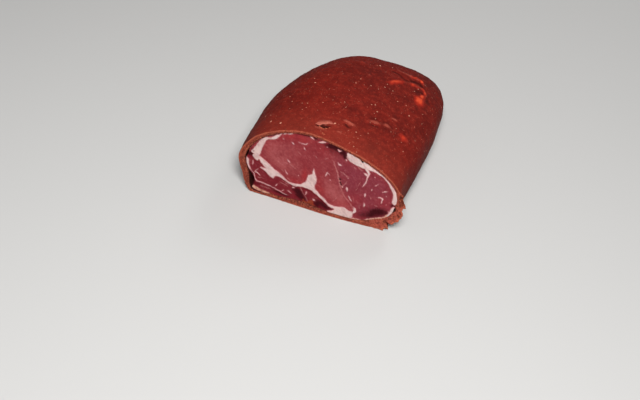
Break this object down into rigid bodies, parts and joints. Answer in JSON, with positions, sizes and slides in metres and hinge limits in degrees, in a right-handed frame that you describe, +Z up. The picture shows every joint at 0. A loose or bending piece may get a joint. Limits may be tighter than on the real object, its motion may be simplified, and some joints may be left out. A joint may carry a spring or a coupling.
{
  "type": "pastirma",
  "caption": "Block of cured beef in a thick coat of dried spice paste, cut across at its front end and lying on its flat side.",
  "frame": {"origin": "middle of the block's box, on the surface that it rests on", "axes": "+Z up, +Y along the block from the cut face to the far rounded end, +X to the right as seen from the cut face"},
  "size_m": [0.181, 0.2271, 0.0867],
  "materials": {
    "cured_meat": "satin",
    "spice_coat": "satin"
  },
  "bodies": {
    "root": {"cured_meat": "cured_meat", "spice_coat": "spice_coat"}
  },
  "joints": []
}
